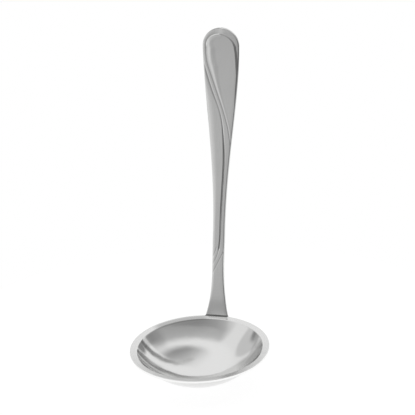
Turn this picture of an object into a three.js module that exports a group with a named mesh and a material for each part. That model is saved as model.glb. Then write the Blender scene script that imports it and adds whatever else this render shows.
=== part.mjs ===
// Sauce ladle: a pressed steel bowl with a flat lip, and a stamped handle spot-welded behind it.
// Millimetres, +Z up. The bowl rests on the XY plane at the origin, and the handle rises at +Y.

import * as THREE from "three";

const { clamp, degToRad, lerp, smoothstep } = THREE.MathUtils;

// Bowl
const RIM_DIAMETER = 66; // across the outer edge of the lip
const BOWL_HEIGHT = 16; // resting face to the top of the lip
const BOWL_SHEET = 1.2; // thickness of the pressed sheet
const RESTING_FACE_DIAMETER = 12; // flat spot under the bowl
const LIP_FLAT = 2.8; // flat part of the lip, from its bend to the outer edge
const LIP_FILLET = 0.4; // radius of the bend under the lip

// Handle
const HANDLE_LENGTH = 140.4; // from the lip to the tip
const BASE_LEAN = degToRad(19.5); // away from upright, at the lip
const TIP_LEAN = degToRad(10.4); // away from upright, at the tip
const HANDLE_WIDTH = 17.6; // widest place, near the tip
const TIP_ROUND = 8.6; // length of the rounded end
const TIP_THICKNESS = 2.3;
const NECK_WIDTH = 5.3; // narrowest place
const NECK_HEIGHT = 32; // along the handle, from the lip to the narrowest place
const NECK_THICKNESS = 3.2;
const FOOT_WIDTH = 11.2; // where the handle passes the lip
const FLARE_LENGTH = 27; // along the handle, from the lip to where the flare begins
const CUPPED_LENGTH = 12; // along the handle, from the lip to where its face is flat again
const EDGE_CHAMFER = 0.6; // broken edge all round the handle

// Tongue of the handle, on the outside of the bowl
const TONGUE_WIDTH = 13.4;
const TONGUE_ROUND = 4.5; // length of its rounded end
const TONGUE_THICKNESS = 1.3;
const TONGUE_END_HEIGHT = 5; // above the resting face
const SEAT_LENGTH = 6.5; // stretch that lies against the wall

// Swirl on the front of the handle
const GROOVE_WIDTH = 1.1;
const GROOVE_DEPTH = 0.4;
const PANEL_BORDER = 3.1; // tip to the top of the panel
const PANEL_SIDE_BORDER = 1.4; // left edge to the widest place of the panel

// Fits
const SEAT_GAP = 0.4; // tongue to the wall, filled by the welds
const LIP_GAP = 0.35; // handle to the outer edge of the lip
const WELD_FIT = 0.08; // each face of a weld to what it joins
const WELD_DIAMETER = 3.6;
const WELD_SPACING = 6.4; // between the middles of the two welds

// Shape of the curves: how early the handle tapers, and how late its foot flares
const TAPER_POWER = 0.77;
const FLARE_POWER = 2.5;

// Swirl lines: place from the tip to the neck as a share of that stretch, and place across as a
// share of the half width, -1 on the left edge and 1 on the right
const RIBBON_LINE = [
  [0.148, -1], [0.27, -0.57], [0.385, 0], [0.48, 0.27], [0.61, 0.46], [0.74, 0.36], [0.96, 0.29],
  [1.02, -0.1], [1.07, -1],
];
const PANEL_LINE = [[0.122, -0.83], [0.175, -0.69], [0.29, -0.22], [0.37, 0.25], [0.455, 0.67], [0.54, 1]];
const TAIL_LINE = [[1, 1], [1.05, 0.1], [1.11, -1]];
const PLAIN_LINES = [-0.5, 0, 0.5]; // where the three lines lie, without depth, on the plain foot

// How finely the round forms are cut
const BOWL_SIDES = 64;
const WALL_STEPS = 10;
const BEND_STEPS = 3;
const EDGE_STEPS = 4;
const END_STEPS = 9;
const TONGUE_STEPS = 10;
const STEM_STEPS = 54;
const WELD_SIDES = 20;
const WELD_STEPS = 3;
const STRIPS_ACROSS = 40; // the face's narrowest strip, as this share of its width

// Rise from 0 to 1 that starts and ends level.
const ease = (share) => (1 - Math.cos(Math.PI * clamp(share, 0, 1))) / 2;

// Share of the full width at a distance from a rounded end of the given length.
const roundedEnd = (distance, length) => Math.sqrt(1 - (1 - clamp(distance / length, 0, 1)) ** 2);

// Sphere that the outside of the bowl's wall lies on: it passes the edge of the resting face and
// touches the round bend under the lip.
function fitWall() {
  const restingRadius = RESTING_FACE_DIAMETER / 2;
  const bendRadius = RIM_DIAMETER / 2 - LIP_FLAT;
  const bendHeight = BOWL_HEIGHT - BOWL_SHEET - LIP_FILLET;
  const reach = bendRadius ** 2 + bendHeight ** 2 - restingRadius ** 2 - LIP_FILLET ** 2;
  const lead = bendHeight ** 2 - LIP_FILLET ** 2;
  const rest = reach ** 2 / 4 - (LIP_FILLET * restingRadius) ** 2;
  const root = Math.sqrt((reach * bendHeight) ** 2 - 4 * lead * rest);
  const centreHeight = (reach * bendHeight - root) / (2 * lead);
  return {
    bendRadius,
    bendHeight,
    centreHeight,
    restingRadius,
    radius: Math.hypot(restingRadius, centreHeight),
    topAngle: Math.atan2(bendRadius, centreHeight - bendHeight),
  };
}

const wall = fitWall();

// Points of an arc in the plane of radius and height, with angles counted from straight down.
function arcPoints(centreRadius, centreHeight, arcRadius, from, to, steps) {
  const points = [];
  for (let step = 0; step <= steps; step += 1) {
    const angle = lerp(from, to, step / steps);
    const radius = centreRadius + arcRadius * Math.sin(angle);
    points.push(new THREE.Vector2(radius, centreHeight - arcRadius * Math.cos(angle)));
  }
  return points;
}

function makeBowl() {
  const { bendRadius, bendHeight, centreHeight, radius, restingRadius, topAngle } = wall;
  const edgeRadius = BOWL_SHEET / 2;
  const innerRadius = radius - BOWL_SHEET;
  const outerStart = Math.asin(restingRadius / radius);
  const innerEnd = Math.acos((centreHeight - BOWL_SHEET) / innerRadius);
  const bendFrom = topAngle + Math.PI;
  const outer = arcPoints(0, centreHeight, radius, outerStart, topAngle, WALL_STEPS);
  const underBend = arcPoints(bendRadius, bendHeight, LIP_FILLET, bendFrom, Math.PI, BEND_STEPS);
  const edge = arcPoints(
    RIM_DIAMETER / 2 - edgeRadius, BOWL_HEIGHT - edgeRadius, edgeRadius, 0, Math.PI, EDGE_STEPS,
  );
  const topBend = arcPoints(bendRadius, bendHeight, LIP_FILLET + BOWL_SHEET, Math.PI, bendFrom, BEND_STEPS);
  const inner = arcPoints(0, centreHeight, innerRadius, topAngle, innerEnd, WALL_STEPS);
  const profile = [
    new THREE.Vector2(0, 0),
    ...outer,
    ...underBend.slice(1),
    ...edge,
    ...topBend,
    ...inner.slice(1),
    new THREE.Vector2(0, BOWL_SHEET),
  ];
  return new THREE.LatheGeometry(profile, BOWL_SIDES).rotateX(Math.PI / 2);
}

// Where the tongue lies on the wall, as angles counted from straight down at the wall's centre.
const seat = { radius: wall.radius + SEAT_GAP };
seat.endAngle = Math.acos((wall.centreHeight - TONGUE_END_HEIGHT) / seat.radius);
seat.leaveAngle = seat.endAngle + SEAT_LENGTH / seat.radius;

// Line of the handle's front face seen from the side, from the end of the tongue to the tip.
function makeSpine() {
  const lean = (angle, length) => new THREE.Vector2(Math.sin(angle), Math.cos(angle)).multiplyScalar(length);
  const quarter = Math.PI / 2;
  const onWall = new THREE.EllipseCurve(
    0, wall.centreHeight, seat.radius, seat.radius, seat.endAngle - quarter, seat.leaveAngle - quarter,
  );
  const leave = onWall.getPoint(1);
  const lip = new THREE.Vector2(RIM_DIAMETER / 2 + LIP_GAP, BOWL_HEIGHT - BOWL_SHEET / 2);
  const tip = lip.clone().add(lean((BASE_LEAN + TIP_LEAN) / 2, HANDLE_LENGTH));
  const hold = lip.distanceTo(leave) / 2;
  const foot = new THREE.CubicBezierCurve(
    leave,
    leave.clone().add(lean(quarter - seat.leaveAngle, hold)),
    lip.clone().sub(lean(BASE_LEAN, hold)),
    lip,
  );
  const stem = new THREE.CubicBezierCurve(
    lip,
    lip.clone().add(lean(BASE_LEAN, HANDLE_LENGTH / 3)),
    tip.clone().sub(lean(TIP_LEAN, HANDLE_LENGTH / 3)),
    tip,
  );
  const path = new THREE.CurvePath();
  path.curves.push(onWall, foot, stem);
  return path;
}

const spine = makeSpine();
const stemLength = spine.curves[2].getLength();
const tongueLength = spine.getLength() - stemLength;
const neckFromTip = stemLength - NECK_HEIGHT;

// Width and thickness at a distance past the lip, which is below nought on the tongue.
function widthAt(pastLip) {
  const fromTip = stemLength - pastLip;
  if (pastLip >= NECK_HEIGHT) {
    const share = clamp((fromTip - TIP_ROUND) / (neckFromTip - TIP_ROUND), 0, 1);
    return lerp(HANDLE_WIDTH, NECK_WIDTH, ease(share ** TAPER_POWER)) * roundedEnd(fromTip, TIP_ROUND);
  }
  if (pastLip >= 0) {
    return lerp(NECK_WIDTH, FOOT_WIDTH, clamp(1 - pastLip / FLARE_LENGTH, 0, 1) ** FLARE_POWER);
  }
  const spread = roundedEnd(-pastLip, tongueLength / 2);
  return lerp(FOOT_WIDTH, TONGUE_WIDTH, spread) * roundedEnd(tongueLength + pastLip, TONGUE_ROUND);
}

function thicknessAt(pastLip) {
  if (pastLip >= NECK_HEIGHT) {
    return lerp(TIP_THICKNESS, NECK_THICKNESS, ease((stemLength - pastLip) / neckFromTip));
  }
  const thinning = (NECK_HEIGHT - pastLip) / (NECK_HEIGHT + tongueLength - SEAT_LENGTH);
  return lerp(NECK_THICKNESS, TONGUE_THICKNESS, clamp(thinning, 0, 1));
}

// Value at a place on the smooth curve through pairs of place and value, level beyond its ends.
function follow(pairs, place) {
  const last = pairs.length - 1;
  if (place <= pairs[0][0]) return pairs[0][1];
  if (place >= pairs[last][0]) return pairs[last][1];
  const slope = (index) => {
    const before = pairs[Math.max(index - 1, 0)];
    const after = pairs[Math.min(index + 1, last)];
    return (after[1] - before[1]) / (after[0] - before[0]);
  };
  const next = pairs.findIndex((pair) => pair[0] > place);
  const span = pairs[next][0] - pairs[next - 1][0];
  const rise = pairs[next][1] - pairs[next - 1][1];
  const share = (place - pairs[next - 1][0]) / span;
  const leaving = (slope(next - 1) * span - rise) * (1 - share);
  const arriving = (rise - slope(next) * span) * share;
  return pairs[next - 1][1] + rise * share + share * (1 - share) * (leaving + arriving);
}

// Places across the front of its three grooves, from left to right: the ribbon's left edge, and the
// left and right edges of the panel, whose left edge comes back at the neck as the ribbon's tail.
function groovePlaces(fromTip, halfWidth) {
  const share = fromTip / neckFromTip;
  const arch = roundedEnd(fromTip - PANEL_BORDER, TIP_ROUND) * HANDLE_WIDTH / 2;
  const archLeft = -arch * (1 - PANEL_SIDE_BORDER / (HANDLE_WIDTH / 2));
  const ribbon = follow(RIBBON_LINE, share) * halfWidth;
  const swirl = follow(PANEL_LINE, share) * halfWidth;
  const tail = follow(TAIL_LINE, share) * halfWidth;
  return [ribbon, Math.min(Math.max(archLeft, swirl), tail), arch];
}

// Points across the front from left to right, each a place across and a depth below the face.
function frontLine(fromTip, halfWidth, flatHalf) {
  const tailEnd = TAIL_LINE.at(-1)[0] * neckFromTip;
  const plain = smoothstep(fromTip, tailEnd, stemLength);
  const begun = clamp(fromTip / PANEL_BORDER, 0, 1) ** 2;
  const points = [[-flatHalf, 0]];
  groovePlaces(fromTip, halfWidth).forEach((groove, index) => {
    const inside = clamp((flatHalf - Math.abs(groove)) / GROOVE_WIDTH, 0, 1);
    const place = lerp(groove, PLAIN_LINES[index] * halfWidth, plain);
    points.push([place - GROOVE_WIDTH / 2, 0]);
    points.push([place, GROOVE_DEPTH * inside * begun]);
    points.push([place + GROOVE_WIDTH / 2, 0]);
  });
  points.push([flatHalf, 0]);
  const strip = 2 * flatHalf / STRIPS_ACROSS;
  const last = points.length - 1;
  for (let index = 1; index <= last; index += 1) {
    points[index][0] = Math.max(points[index][0], points[index - 1][0] + strip);
  }
  points[last][0] = flatHalf;
  for (let index = last - 1; index >= 0; index -= 1) {
    points[index][0] = Math.min(points[index][0], points[index + 1][0] - strip);
  }
  return points;
}

// One closed section of the handle: across the front, then back across the rear face. The foot
// and the tongue are cupped round the bowl's axis, and the stem above them is flat.
function makeSection(pastLip) {
  const share = (tongueLength + pastLip) / spine.getLength();
  const place = spine.getPoint(share);
  const heading = spine.getTangent(share);
  const halfWidth = widthAt(pastLip) / 2;
  const thickness = thicknessAt(pastLip);
  const chamfer = Math.min(EDGE_CHAMFER, halfWidth / 2, thickness / 3);
  const flatHalf = halfWidth - chamfer;
  const cupped = 1 - smoothstep(pastLip, 0, CUPPED_LENGTH);
  const outline = [
    [-halfWidth, chamfer],
    ...frontLine(stemLength - pastLip, halfWidth, flatHalf),
    [halfWidth, chamfer],
    [halfWidth, thickness - chamfer],
    [flatHalf, thickness],
    [flatHalf / 3, thickness],
    [-flatHalf / 3, thickness],
    [-flatHalf, thickness],
    [-halfWidth, thickness - chamfer],
  ];
  return outline.map(([across, depth]) => {
    const turn = Math.asin(across / place.x) * cupped;
    const front = lerp(place.x, Math.sqrt(place.x ** 2 - across ** 2), cupped);
    return new THREE.Vector3(
      across + depth * heading.y * Math.sin(turn),
      front + depth * heading.y * Math.cos(turn),
      place.y - depth * heading.x,
    );
  });
}

// Closed skin over a row of sections that all have the same number of points.
function loft(sections) {
  const count = sections[0].length;
  const vertices = sections.flat();
  const triangles = [];
  for (let row = 0; row < sections.length - 1; row += 1) {
    for (let column = 0; column < count; column += 1) {
      const here = row * count + column;
      const beside = row * count + (column + 1) % count;
      triangles.push(here, beside, beside + count);
      triangles.push(here, beside + count, here + count);
    }
  }
  const closeEnd = (row, outwards) => {
    const middle = vertices.length;
    const centre = new THREE.Vector3();
    for (const point of sections[row]) centre.addScaledVector(point, 1 / count);
    vertices.push(centre);
    for (let column = 0; column < count; column += 1) {
      const here = row * count + column;
      const beside = row * count + (column + 1) % count;
      triangles.push(middle, ...(outwards ? [here, beside] : [beside, here]));
    }
  };
  closeEnd(0, false);
  closeEnd(sections.length - 1, true);
  const geometry = new THREE.BufferGeometry().setFromPoints(vertices);
  geometry.setIndex(triangles);
  geometry.computeVertexNormals();
  return geometry;
}

function makeHandle() {
  const places = [];
  const roundSteps = (end, length) => {
    for (let step = 1; step < END_STEPS; step += 1) {
      places.push(end + length * (1 - Math.cos(Math.PI / 2 * step / END_STEPS)));
    }
  };
  const evenSteps = (from, to, steps) => {
    for (let step = 0; step < steps; step += 1) places.push(lerp(from, to, step / steps));
  };
  roundSteps(-tongueLength, TONGUE_ROUND);
  evenSteps(TONGUE_ROUND - tongueLength, 0, TONGUE_STEPS);
  evenSteps(0, stemLength - TIP_ROUND, STEM_STEPS);
  roundSteps(stemLength, -TIP_ROUND);
  places.push(stemLength - TIP_ROUND);
  places.sort((low, high) => low - high);
  return loft(places.map(makeSection));
}

// One fused spot: a thin round cap between the wall and the tongue, about the wall's centre.
function makeWeld() {
  const spread = WELD_DIAMETER / 2 / seat.radius;
  const near = wall.radius + WELD_FIT;
  const far = seat.radius - WELD_FIT;
  const profile = [
    ...arcPoints(0, 0, near, Math.PI, Math.PI - spread, WELD_STEPS),
    ...arcPoints(0, 0, far, Math.PI - spread, Math.PI, WELD_STEPS),
  ];
  return new THREE.LatheGeometry(profile, WELD_SIDES);
}

function placeWeld(weld, across) {
  const down = (seat.endAngle + seat.leaveAngle) / 2;
  const turn = Math.asin(across / (seat.radius * Math.sin(down)));
  const outwards = new THREE.Vector3(
    Math.sin(down) * Math.sin(turn), Math.sin(down) * Math.cos(turn), -Math.cos(down),
  );
  weld.position.set(0, 0, wall.centreHeight);
  weld.quaternion.setFromUnitVectors(new THREE.Vector3(0, 1, 0), outwards);
}

function addPiece(name, geometry, color, roughness) {
  const material = new THREE.MeshStandardMaterial({ color, roughness, metalness: 1 });
  const piece = new THREE.Mesh(geometry, material);
  piece.name = name;
  ladle.add(piece);
  return piece;
}

const ladle = new THREE.Group();
addPiece("bowl", makeBowl(), 0xc4c4c2, 0.1);
addPiece("handle", makeHandle(), 0xb4b4b2, 0.18);
placeWeld(addPiece("spot_weld_left", makeWeld(), 0x8f8f8d, 0.5), -WELD_SPACING / 2);
placeWeld(addPiece("spot_weld_right", makeWeld(), 0x8f8f8d, 0.5), WELD_SPACING / 2);

export default ladle;
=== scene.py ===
"""Sauce ladle: a polished steel bowl with a flat lip, and a stamped handle welded behind it.

Every length is in metres. The bowl rests on the XY plane at the origin, and the handle rises at +Y.
"""

import math
from types import SimpleNamespace as Values

import bpy
import numpy as np
from bpy.props import FloatProperty, FloatVectorProperty, IntProperty, PointerProperty
from bpy.types import Operator, Panel, PropertyGroup
from mathutils import Matrix, Vector


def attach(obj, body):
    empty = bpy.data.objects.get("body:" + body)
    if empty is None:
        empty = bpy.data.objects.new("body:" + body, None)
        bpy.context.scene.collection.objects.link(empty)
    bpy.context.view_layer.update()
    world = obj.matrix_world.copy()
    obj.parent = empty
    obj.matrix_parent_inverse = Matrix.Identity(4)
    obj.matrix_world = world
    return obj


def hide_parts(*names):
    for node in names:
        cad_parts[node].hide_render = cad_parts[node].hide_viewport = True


bl_info = {
    "name": "Sauce ladle",
    "version": (1, 0, 0),
    "blender": (4, 5, 0),
    "location": "View3D > Sidebar > Ladle",
    "description": "Makes a small sauce ladle and a plain studio around it",
    "category": "Add Mesh",
}

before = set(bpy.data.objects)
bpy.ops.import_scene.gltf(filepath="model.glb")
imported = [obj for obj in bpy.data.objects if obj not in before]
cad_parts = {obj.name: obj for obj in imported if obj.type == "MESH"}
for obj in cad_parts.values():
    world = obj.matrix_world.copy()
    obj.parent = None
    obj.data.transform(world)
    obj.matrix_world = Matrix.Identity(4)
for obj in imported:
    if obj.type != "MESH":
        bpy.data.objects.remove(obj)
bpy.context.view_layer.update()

MM = 0.001

# Swirl lines on the front of the handle: place from the tip to the neck as a share of that stretch,
# and place across as a share of the half width, -1 on the left edge and 1 on the right
RIBBON_LINE = [
    (0.148, -1), (0.27, -0.57), (0.385, 0), (0.48, 0.27), (0.61, 0.47), (0.74, 0.45), (0.86, 0.37),
    (0.96, 0.29), (1.02, -0.1), (1.07, -1),
]
PANEL_LINE = [
    (0.1, -0.84), (0.128, -0.81), (0.15, -0.785), (0.175, -0.71), (0.29, -0.22), (0.37, 0.2), (0.41, 0.42),
    (0.455, 0.67), (0.54, 1),
]
TAIL_LINE = [(1, 1), (1.05, 0.1), (1.11, -1)]
CURL_LINE = [(0.985, -0.25), (1.01, -0.55), (1.035, -1)]

# Depths and widths of the relief in millimetres along the same stretch
RIBBON_DEPTH = [
    (0.14, 0.08), (0.18, 0.15), (0.3, 0.15), (0.34, 0.1), (0.37, 0.11), (0.44, 0.16), (0.5, 0.3), (0.56, 0.5),
    (0.9, 0.5), (0.95, 0.38), (0.985, 0.34), (1.0, 0.06), (1.07, 0.04),
]
RIBBON_FLANK = [(0.14, 1.0), (0.3, 0.9), (0.44, 0.7), (0.56, 0.72), (0.8, 0.75), (0.87, 0.6), (1.07, 0.5)]
RIBBON_RIGHT_FLANK = [(0.3, 0.45), (0.5, 0.32)]
PANEL_RISE = [
    (0.02, 0.05), (0.05, 0.1), (0.075, 0.34), (0.09, 0.45), (0.17, 0.45), (0.2, 0.36), (0.245, 0.26),
    (0.3, 0.18), (0.37, 0.11), (0.54, 0.08),
]
PANEL_SLOPE = [
    (0.02, 1.0), (0.06, 1.6), (0.09, 2.5), (0.17, 2.5), (0.2, 2.0), (0.245, 1.4), (0.3, 1.0), (0.37, 0.65),
    (0.54, 0.5),
]
PANEL_INSET = [(0.09, 1.25), (0.108, 0.9), (0.143, 0.5), (0.2, 0)]
STEP_RISE = [(0, 0.45), (0.06, 0.45), (0.085, 0)]
ARCH_RISE = [(0.02, 0.05), (0.04, 0.14), (0.06, 0.28), (0.085, 0.47), (0.13, 0.5), (0.17, 0.34), (0.2, 0.1)]
ARCH_SLOPE = [(0.02, 0.6), (0.06, 0.9), (0.085, 1.2), (0.2, 1.2)]
LEFT_BEVEL_DEPTH = [
    (0, 0.12), (0.1, 0.16), (0.15, 0.2), (0.17, 0.12), (0.2, 0.13), (0.245, 0.24), (0.27, 0.36),
    (0.303, 0.52), (0.337, 0.62), (0.37, 0.67), (0.5, 0.6), (0.6, 0.5), (0.73, 0.42), (0.865, 0.32),
    (1.15, 0.28), (1.25, 0.06),
]
LEFT_BEVEL_WIDTH = [
    (0, 0.9), (0.1, 1.0), (0.15, 1.1), (0.17, 0.6), (0.2, 0.6), (0.245, 1.3), (0.27, 1.8), (0.303, 2.7),
    (0.337, 3.2), (0.37, 3.5), (0.5, 3.1), (0.6, 2.6), (0.73, 2.1), (0.865, 1.5), (1.3, 1.2),
]
RIGHT_BEVEL_DEPTH = [(0, 0), (0.04, 0.05), (0.07, 0.1), (0.17, 0.1), (0.3, 0.06), (1.3, 0.06)]
RIGHT_ROUND = [
    (0, 0.5), (0.08, 0.5), (0.14, 0.6), (0.2, 0.9), (0.28, 0.8), (0.36, 0.4), (1.0, 0.36), (1.1, 0.5),
    (1.35, 0.5),
]
SWAY = [
    (0, 0), (0.08, 0.07), (0.2, 0.2), (0.4, 0.2), (0.5, 0.1), (0.65, -0.03), (0.87, -0.2), (1.0, -0.3),
    (1.07, -0.3), (1.2, -0.1), (1.3, 0),
]

# Single sizes of the relief
ARCH_LEFT = Values(start=0.9 * MM, reach=6.4 * MM, length=5.6 * MM)
ARCH_RIGHT = Values(start=1 * MM, reach=8.7 * MM, length=8 * MM, widening=0.12)
ARCH_END, ARCH_RUN_OUT, BORDER_RUN_OUT = 0.2, (0.19, 0.22), (0.46, 0.54)  # shares of the same stretch
ARCH_FADE = (-3 * MM, 3 * MM)
STEP_FADE = (-1 * MM, 3 * MM)
STEP_WIDTH = 0.45 * MM
CREST_SHARE = 0.25
BORDER = Values(lift=0.09 * MM, width=0.55 * MM)
LEFT_BEVEL_POWER = 2.5
RIGHT_BEVEL_WIDTH = 1.6 * MM
SWIRL_ENDS = Values(tail=0.055 * MM, curl=0.05 * MM, width=0.42 * MM)
FULL_GROOVE = 0.65 * MM
MOST_GROOVE = 0.75
# Painted shade on the handle's face just past the lip: where it begins to fade and where it ends
CREVICE_SHADE = (0.6 * MM, 1.1 * MM)
DENT = Values(depth=0.14 * MM, flat=1.2 * MM, radius=2.1 * MM)
REAR_BEVEL = Values(depth=0.12 * MM, width=2 * MM, seam=0.04 * MM)
REAR_ROUND = 1.6  # times the rounding of the front edge
KICK = Values(depth=0.7 * MM, peak=10 * MM, end=45 * MM)
CUP_FADE = (-4 * MM, 4 * MM)

# Outline of the handle on its left and right, as a share of the thickness behind the front
LEFT_EDGE, RIGHT_EDGE = 0.22, 0.58

# Stretches of the handle: where each ends past the lip, and the spacing of its sections, in millimetres.
# The last one ends where the tip begins to round.
STRETCHES = ((0, 0.5), (18, 0.5), (40, 0.27), (85, 0.6), (128, 0.45), (None, 0.16))
FRONT_POINTS, REAR_POINTS, CORNER_POINTS = 132, 26, 10
TIP_SECTIONS, OUTLINE_POINTS = 84, 280

# Bend of the lip, as distances from the bowl's axis
LIP_START = (29.2 * MM, 29.7 * MM)

# Heat colours round the welds and on them
DENT_TINT = (0.5, 0.43, 0.36)
WELD_TINT = (0.5, 0.42, 0.33)

# Grey levels of the room in the studio, as pairs of place from -1 to 1 and level
LOW_GREYS = (
    (-1, 0.95), (-0.86, 0.92), (-0.62, 0.72), (-0.26, 0.525), (0.08, 0.35), (0.34, 0.18), (1, 0.15),
)
HIGH_GREYS = (
    (-0.75, 0.9), (-0.6, 0.7), (-0.5, 0.53), (-0.3, 0.42), (0, 0.34), (0.2, 0.31), (0.6, 0.34), (1, 0.38),
)
RIM_GREYS = ((0.7, 0.56), (0.8, 0.5), (0.9, 0.46), (0.96, 0.34), (1, 0.31))

# Directions of the tent's middle, its grey patch and a white sheet behind the ladle
TENT_MIDDLE = (0, 0.4, 0)
PATCH_MIDDLE = (0.05, 0.47, 0)
SHEET_MIDDLE = (0.396, 0.892, 0.22)

# Darker patches: direction, the distances from it where the patch begins to fade and ends, and its level
DARK_PATCHES = (
    ((-0.882, 0.287, 0.375), 0.27, 0.35, 0.75),
    ((-0.919, 0.264, 0.292), 0.04, 0.14, 0.65),
    ((-0.815, 0.57, 0.105), 0.1, 0.2, 0.68),
    ((-0.934, 0.303, 0.191), 0.1, 0.22, 0.6),
    ((-0.271, 0.947, 0.174), 0.08, 0.32, 0.5),
    ((0.754, 0.368, 0.545), 0.1, 0.35, 0.8),
    ((0.497, 0.861, 0.105), 0.1, 0.17, 0.38),
)
FLOOR_CORNERS = 96


def number(name, description, default, **limits):
    return FloatProperty(name=name, description=description, default=default, **limits)


def in_mm(name, description, millimetres):
    return number(name, description, millimetres * MM, min=0, precision=5, unit="LENGTH")


def in_degrees(name, description, degrees):
    return number(name, description, math.radians(degrees), subtype="ANGLE", unit="ROTATION")


def as_factor(name, description, default):
    return number(name, description, default, min=0, max=1, subtype="FACTOR")


def as_colour(name, description, default):
    return FloatVectorProperty(
        name=name, description=description, default=default, min=0, max=1, size=3, subtype="COLOR"
    )


class LadleBowl(PropertyGroup):
    """Sizes of the bowl."""

    rim_diameter: in_mm("Rim diameter", "Across the outer edge of the lip", 66)
    height: in_mm("Height", "Resting face to the top of the lip", 16)
    sheet: in_mm("Sheet", "Thickness of the pressed sheet", 1.2)
    resting_diameter: in_mm("Resting face", "Across the flat spot under the bowl", 12)
    lip_flat: in_mm("Lip flat", "Flat part, from the bend to the outer edge", 2.2)
    lip_lean: in_degrees("Lip lean", "How steeply the lip rises to its outer edge", 5.4)
    lip_round: in_mm("Lip round", "Radius along both rims of the outer edge", 0.2)
    lip_fillet: in_mm("Lip fillet", "Radius of the bend under the lip", 0.4)
    lip_bend: in_mm("Lip bend", "Radius of the bend from the lip into the bowl", 0.7)
    steps_around: IntProperty(
        name="Steps around", description="Faces round the bowl", default=256, min=12, max=400
    )


class LadleHandle(PropertyGroup):
    """Sizes of the handle, its tongue and its welds."""

    length: in_mm("Length", "From the lip to the tip", 140.4)
    base_lean: in_degrees("Lean at the lip", "Away from upright, where it passes the lip", 19.5)
    tip_lean: in_degrees("Lean at the tip", "Away from upright, at the tip", 10.4)
    width: in_mm("Width", "Widest place, near the tip", 17.8)
    tip_round: in_mm("Rounded tip", "Length of the rounded end", 8.6)
    tip_thickness: in_mm("Thickness at the tip", "Front to back at the tip", 2.3)
    neck_width: in_mm("Neck width", "Narrowest place", 5.8)
    taper_end: in_mm("End of the taper", "From the lip, along the handle", 41.6)
    neck_height: in_mm("Neck height", "From the lip, along the handle", 32)
    neck_thickness: in_mm("Thickness at the neck", "Front to back at the neck", 3.2)
    foot_width: in_mm("Foot width", "Where the handle passes the lip", 11.3)
    flare_length: in_mm("Flare", "From the lip to its start, along the handle", 27)
    edge_round: in_mm("Edge", "Rounded stretch in from the outline", 0.4)
    tongue_width: in_mm("Tongue width", "Widest place of the tongue", 13.4)
    tongue_round: in_mm("Rounded tongue", "Length of its rounded end", 4.5)
    tongue_thickness: in_mm("Thickness of the tongue", "Front to back", 1.3)
    tongue_end: in_mm("End of the tongue", "Above the resting face", 5)
    seat_length: in_mm("Seat", "Stretch that lies against the wall", 6.5)
    seat_gap: in_mm("Seat gap", "Tongue to the wall, filled by the welds", 0.4)
    lip_gap: in_mm("Lip gap", "Handle to the outer edge of the lip", 0.35)
    panel_border: in_mm("Panel border", "Tip to the top of the panel", 2.85)
    weld_diameter: in_mm("Weld", "Across one fused spot", 3.6)
    weld_spacing: in_mm("Weld spacing", "Between the middles of the two welds", 6.4)
    taper_power: number("Taper", "How early the handle tapers", 0.86, min=0.3, max=3)
    flare_power: number("Flare shape", "How late the foot flares", 2.6, min=1, max=5)


class LadleSteel(PropertyGroup):
    """Colours and finishes of the steel."""

    bowl_colour: as_colour("Bowl", "Mirror polished sheet", (0.74, 0.74, 0.735))
    # Brighter than the bowl: a painted highlight on the lip's trimmed outer edge
    edge_highlight_colour: as_colour("Edge", "Trimmed edge of the lip", (0.93, 0.93, 0.925))
    handle_colour: as_colour("Handle", "Polished bar", (0.72, 0.72, 0.715))
    weld_colour: as_colour("Weld", "Dull fused spot", (0.42, 0.41, 0.4))
    bowl_roughness: as_factor("Bowl roughness", "Blur of the bowl's reflections", 0.09)
    handle_roughness: as_factor("Handle roughness", "Blur of the handle's reflections", 0.16)


class LadleStage(PropertyGroup):
    """Floor, light and camera."""

    floor_radius: in_mm("Floor", "Radius of the round floor", 150)
    floor_colour: as_colour("Floor colour", "Matt part, which shows the shadow", (0.22, 0.22, 0.22))
    floor_white: as_factor("Floor white", "Plain white that the floor shows besides", 0.89)
    camera_turn: in_degrees("Camera turn", "Round the object, from the front", 15.561)
    camera_rise: in_degrees("Camera rise", "Above the horizon", 23.435)
    camera_roll: in_degrees("Camera roll", "About its own axis", 3.348)
    camera_distance: in_mm("Camera distance", "From the aim", 800)
    camera_lens: number("Lens", "Focal length in millimetres on a 36 mm sensor", 152.28, min=1)
    aim_across: in_mm("Aim across", "To the right of the bowl's axis", 7.594)
    aim_height: in_mm("Aim height", "Above the floor", 87.36)


# Small curves
def ease(share):
    return (1 - np.cos(np.pi * np.clip(share, 0, 1))) / 2


def lerp(low, high, share):
    return low + (high - low) * share


def smooth(value, low, high):
    share = np.clip((value - low) / (high - low), 0, 1)
    return share * share * (3 - 2 * share)


def quarter_turn(steps):
    """Steps from 0 to 1 that are close together at first, like the depths of a quarter circle."""
    return 1 - np.cos(np.linspace(0, math.pi / 2, steps))


def rounded_end(distance, length):
    return np.sqrt(1 - (1 - np.clip(distance / length, 0, 1)) ** 2)


def fall(distance, width, power=1.7):
    """From 1 at no distance to 0 at the width, which it meets level."""
    blunt = 0.07 * MM
    soft = np.sqrt(distance**2 + blunt**2) - blunt
    return np.clip(1 - soft / width, 0, 1) ** power


def follow(pairs, place):
    """Smooth curve through pairs of place and value, level beyond its ends."""
    at, value = np.array(pairs, float).T
    slope = np.gradient(value, at)
    slope[1:-1] = (value[2:] - value[:-2]) / (at[2:] - at[:-2])
    place = np.clip(place, at[0], at[-1])
    after = np.clip(np.searchsorted(at, place, side="right"), 1, len(at) - 1)
    before = after - 1
    span, rise = at[after] - at[before], value[after] - value[before]
    share = (place - at[before]) / span
    leaving = (slope[before] * span - rise) * (1 - share)
    arriving = (rise - slope[after] * span) * share
    return value[before] + rise * share + share * (1 - share) * (leaving + arriving)


def along(pairs, place):
    """Metres at a place along pairs of place and millimetres."""
    at, value = np.array(pairs, float).T
    return np.interp(place, at, value) * MM


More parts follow.
